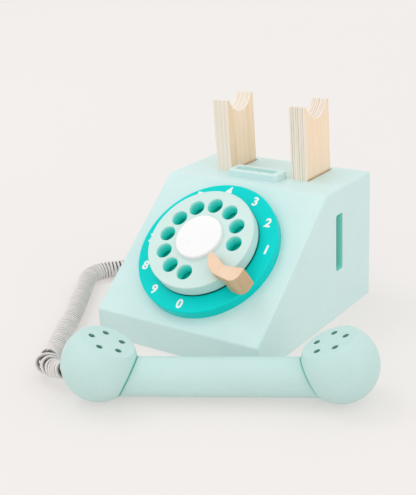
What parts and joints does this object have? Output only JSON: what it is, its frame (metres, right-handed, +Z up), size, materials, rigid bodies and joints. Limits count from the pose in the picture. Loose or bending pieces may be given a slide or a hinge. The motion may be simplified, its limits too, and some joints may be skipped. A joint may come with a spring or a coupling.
{
  "type": "wooden toy rotary telephone",
  "caption": "Wooden toy telephone: slant-front painted box, turning finger wheel with fixed stop, plywood cradle posts, loose ball-ended handset on a curly cord.",
  "frame": {"origin": "middle of the box body's underside, on the surface it stands on", "axes": "+X to the telephone's own right as seen from the front, +Y to its back, +Z up"},
  "size_m": [0.3053, 0.2667, 0.1563],
  "materials": {
    "mint_body": "satin pale mint paint on board",
    "teal_plate": "satin bright turquoise paint with white digits",
    "pale_wheel": "satin very pale mint paint",
    "white_cap": "satin white paint",
    "plywood": "clear-sealed plywood with its plies showing on the edges",
    "bare_wood": "clear-sealed natural wood with end grain",
    "pine_block": "bare sawn softwood",
    "zinc_steel": "zinc-plated steel",
    "nylon": "natural white nylon",
    "grommet_plastic": "soft grey plastic",
    "cord_braid": "light grey braided covering"
  },
  "bodies": {
    "housing": {"base_panel": "mint_body", "front_lip_panel": "mint_body", "dial_panel": "mint_body", "top_panel": "mint_body", "back_panel": "mint_body", "left_side_panel": "mint_body", "right_side_panel": "mint_body", "corner_blocks": "pine_block", "base_screws": "zinc_steel", "slot_frame": "mint_body", "left_cradle_post": "plywood", "right_cradle_post": "plywood", "left_post_socket": "pine_block", "right_post_socket": "pine_block", "post_screws": "zinc_steel", "number_plate": "teal_plate", "plate_screws": "zinc_steel", "finger_stop": "bare_wood", "stop_screw": "zinc_steel", "dial_bolt": "zinc_steel", "bolt_washer": "zinc_steel", "wheel_spacer": "nylon", "nut_washer": "zinc_steel", "lock_nut": "zinc_steel", "body_grommet": "grommet_plastic", "body_knot": "cord_braid", "cord_body_lead": "cord_braid", "cord_coil": "cord_braid"},
    "dial": {"finger_wheel": "pale_wheel", "wheel_bush": "nylon", "centre_cap": "white_cap"},
    "handset": {"handset_bar": "mint_body", "mouth_ball": "mint_body", "ear_ball": "mint_body", "joint_dowels": "pine_block", "ball_grommet": "grommet_plastic", "cord_ball_lead": "cord_braid"}
  },
  "joints": [
    {"name": "dial_turn", "type": "hinge", "parent": "housing", "child": "dial", "pos_m": [0, -0.04237, 0.07043], "axis": [0, -0.6319, 0.775], "continuous": true},
    {"name": "handset_lift", "type": "slide", "parent": "housing", "child": "handset", "axis": [0, 0, 1], "range_m": [0, 0.15], "deforming": ["cord_coil"]}
  ]
}
